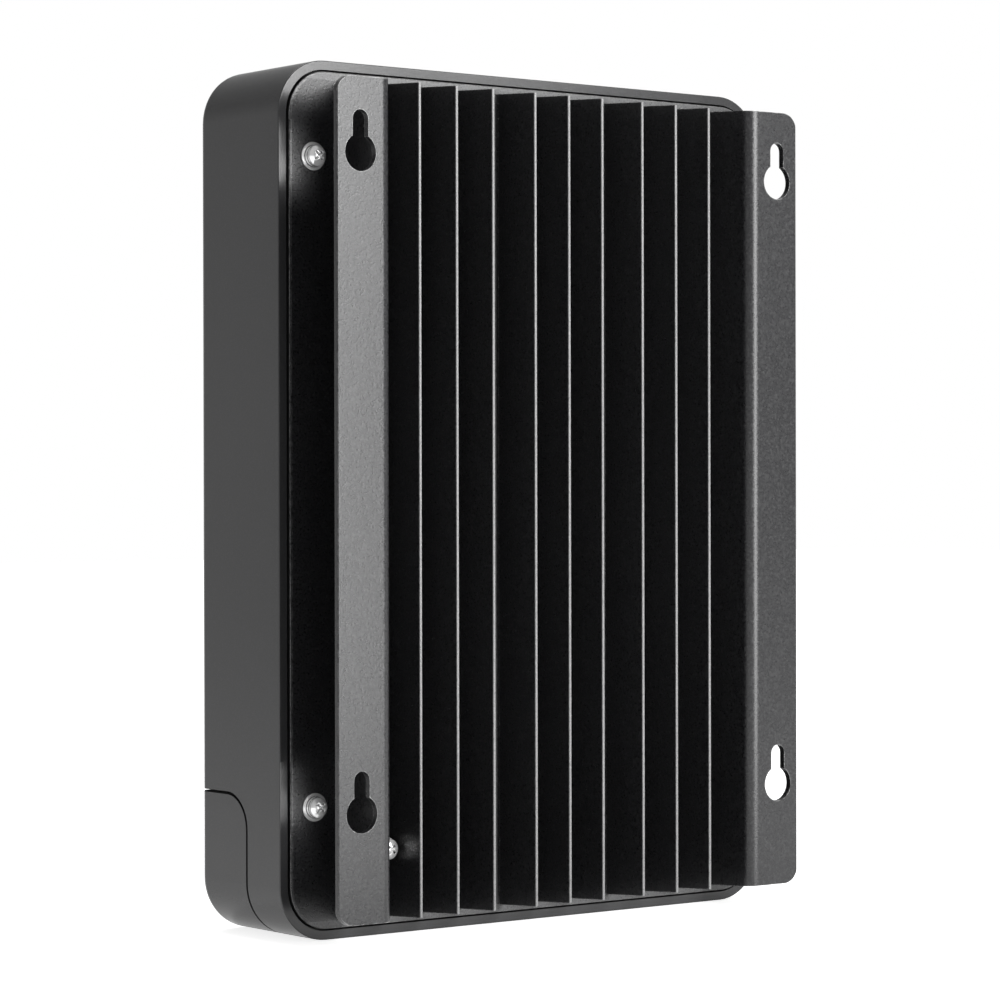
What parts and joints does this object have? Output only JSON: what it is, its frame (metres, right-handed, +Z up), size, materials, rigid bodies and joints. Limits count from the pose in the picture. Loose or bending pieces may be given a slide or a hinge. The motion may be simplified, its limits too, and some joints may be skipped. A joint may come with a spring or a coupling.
{
  "type": "solar charge controller",
  "caption": "Wall-mounted solar charge controller with a finned black heatsink whose bent flanges hang on keyholes, a moulded housing and sprung keys.",
  "frame": {"origin": "middle of the base, which is the lower end of the case, at the middle of the overall depth from the front face to the wall face of the flanges", "axes": "+Z up along the fins, +Y from the front face towards the wall, +X to the right seen from the front"},
  "size_m": [0.172, 0.061, 0.238],
  "materials": {
    "black_metal": "satin black coating on an extrusion",
    "case_plastic": "fine satin texture",
    "zinc_steel": "bright zinc plating",
    "pad_rubber": "matte",
    "epoxy": "moulded epoxy",
    "bare_aluminium": "rolled",
    "board": "solder mask",
    "brass": "turned",
    "ferrite": "coated core",
    "copper_wire": "enamelled wire",
    "capacitor_sleeve": "sleeve",
    "black_plastic": "moulded",
    "fuse_plastic": "translucent amber",
    "plated_brass": "plated",
    "white_plastic": "moulded",
    "display_glass": "display glass",
    "window_plastic": "tinted clear plastic",
    "clear_plastic": "frosted clear",
    "key_plastic": "satin",
    "plunger_plastic": "moulded"
  },
  "bodies": {
    "controller": {"heatsink": "black_metal", "front_housing": "case_plastic", "terminal_cover": "case_plastic", "cover_screws": "zinc_steel", "heatsink_screws": "zinc_steel", "spring_washers": "zinc_steel", "flat_washers": "zinc_steel", "earth_screw": "zinc_steel", "earth_spacer": "zinc_steel", "earth_washers": "zinc_steel", "thermal_pads": "pad_rubber", "power_transistors": "epoxy", "transistor_clamps": "bare_aluminium", "clamp_screws": "zinc_steel", "main_board": "board", "board_standoffs": "brass", "board_screws": "zinc_steel", "inductor_cores": "ferrite", "inductor_windings": "copper_wire", "input_capacitors": "capacitor_sleeve", "output_capacitors": "capacitor_sleeve", "fuse_holders": "black_plastic", "fuses": "fuse_plastic", "terminal_block": "black_plastic", "terminal_cages": "plated_brass", "terminal_screws": "zinc_steel", "comm_socket": "black_plastic", "sensor_socket": "white_plastic", "control_chip": "epoxy", "aux_transformer": "black_plastic", "board_header": "black_plastic", "header_socket": "black_plastic", "display_board": "board", "display_board_screws": "zinc_steel", "display_module": "display_glass", "display_window": "window_plastic", "light_pipes": "clear_plastic", "indicator_lamps": "white_plastic", "key_switches": "black_plastic"},
    "menu_key": {"key_menu": "key_plastic", "plunger_menu": "plunger_plastic"},
    "up_key": {"key_up": "key_plastic", "plunger_up": "plunger_plastic"},
    "down_key": {"key_down": "key_plastic", "plunger_down": "plunger_plastic"},
    "enter_key": {"key_enter": "key_plastic", "plunger_enter": "plunger_plastic"}
  },
  "joints": [
    {"name": "menu_key_press", "type": "slide", "parent": "controller", "child": "menu_key", "axis": [0, 1, 0], "range_m": [0, 0.0005], "stiffness_N_per_m": 1500, "springref_m": -0.0003},
    {"name": "up_key_press", "type": "slide", "parent": "controller", "child": "up_key", "axis": [0, 1, 0], "range_m": [0, 0.0005], "stiffness_N_per_m": 1500, "springref_m": -0.0003},
    {"name": "down_key_press", "type": "slide", "parent": "controller", "child": "down_key", "axis": [0, 1, 0], "range_m": [0, 0.0005], "stiffness_N_per_m": 1500, "springref_m": -0.0003},
    {"name": "enter_key_press", "type": "slide", "parent": "controller", "child": "enter_key", "axis": [0, 1, 0], "range_m": [0, 0.0005], "stiffness_N_per_m": 1500, "springref_m": -0.0003}
  ]
}
